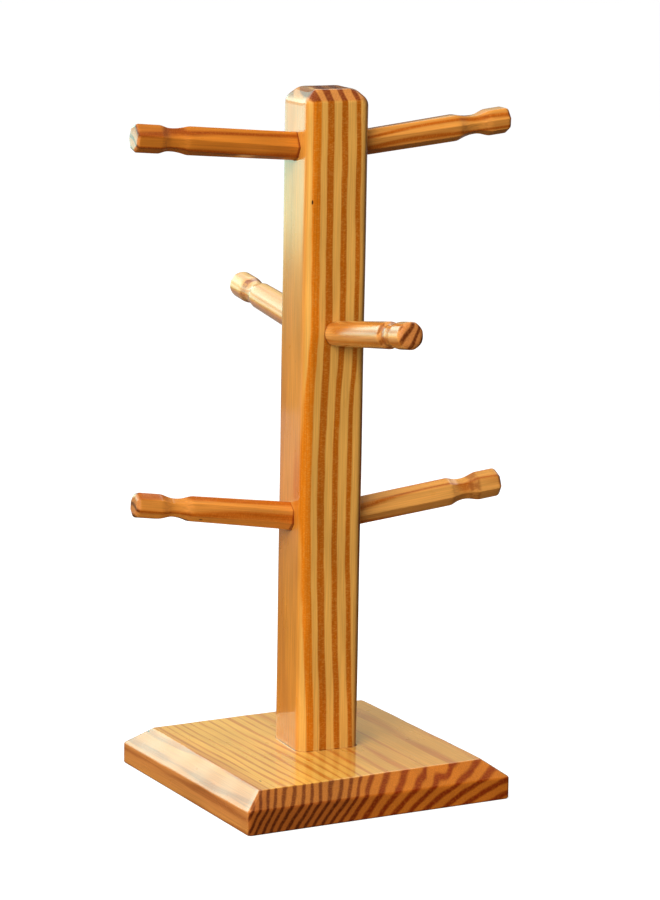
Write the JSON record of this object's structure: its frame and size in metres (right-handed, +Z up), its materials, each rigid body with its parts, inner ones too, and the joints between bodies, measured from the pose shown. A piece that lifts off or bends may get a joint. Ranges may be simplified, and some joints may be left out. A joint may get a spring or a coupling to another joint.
{
  "type": "mug tree",
  "caption": "Wooden mug tree: a square post on a chamfered square base, with turned pegs that rise outwards from its four sides to hang mugs on.",
  "frame": {"origin": "centre of the base board's underside, on the surface the mug tree stands on", "axes": "+Z up along the post; +X along the board's width, across its grain, towards the side that the right-hand upper and lower pegs point to; +Y towards the back, along the board's grain"},
  "size_m": [0.2039, 0.2152, 0.3582],
  "materials": {
    "board_wood": "pine board under honey-coloured gloss lacquer, end grain at front and back",
    "post_wood": "striped quarter-sawn pine bar under honey-coloured gloss lacquer",
    "peg_wood": "turned pine dowel under honey-coloured gloss lacquer",
    "screw_steel": "yellow zinc-plated steel"
  },
  "bodies": {
    "root": {"base_board": "board_wood", "post": "post_wood", "peg_top_left": "peg_wood", "peg_top_right": "peg_wood", "peg_middle_front": "peg_wood", "peg_middle_back": "peg_wood", "peg_lower_left": "peg_wood", "peg_lower_right": "peg_wood", "base_screw": "screw_steel"}
  },
  "joints": []
}
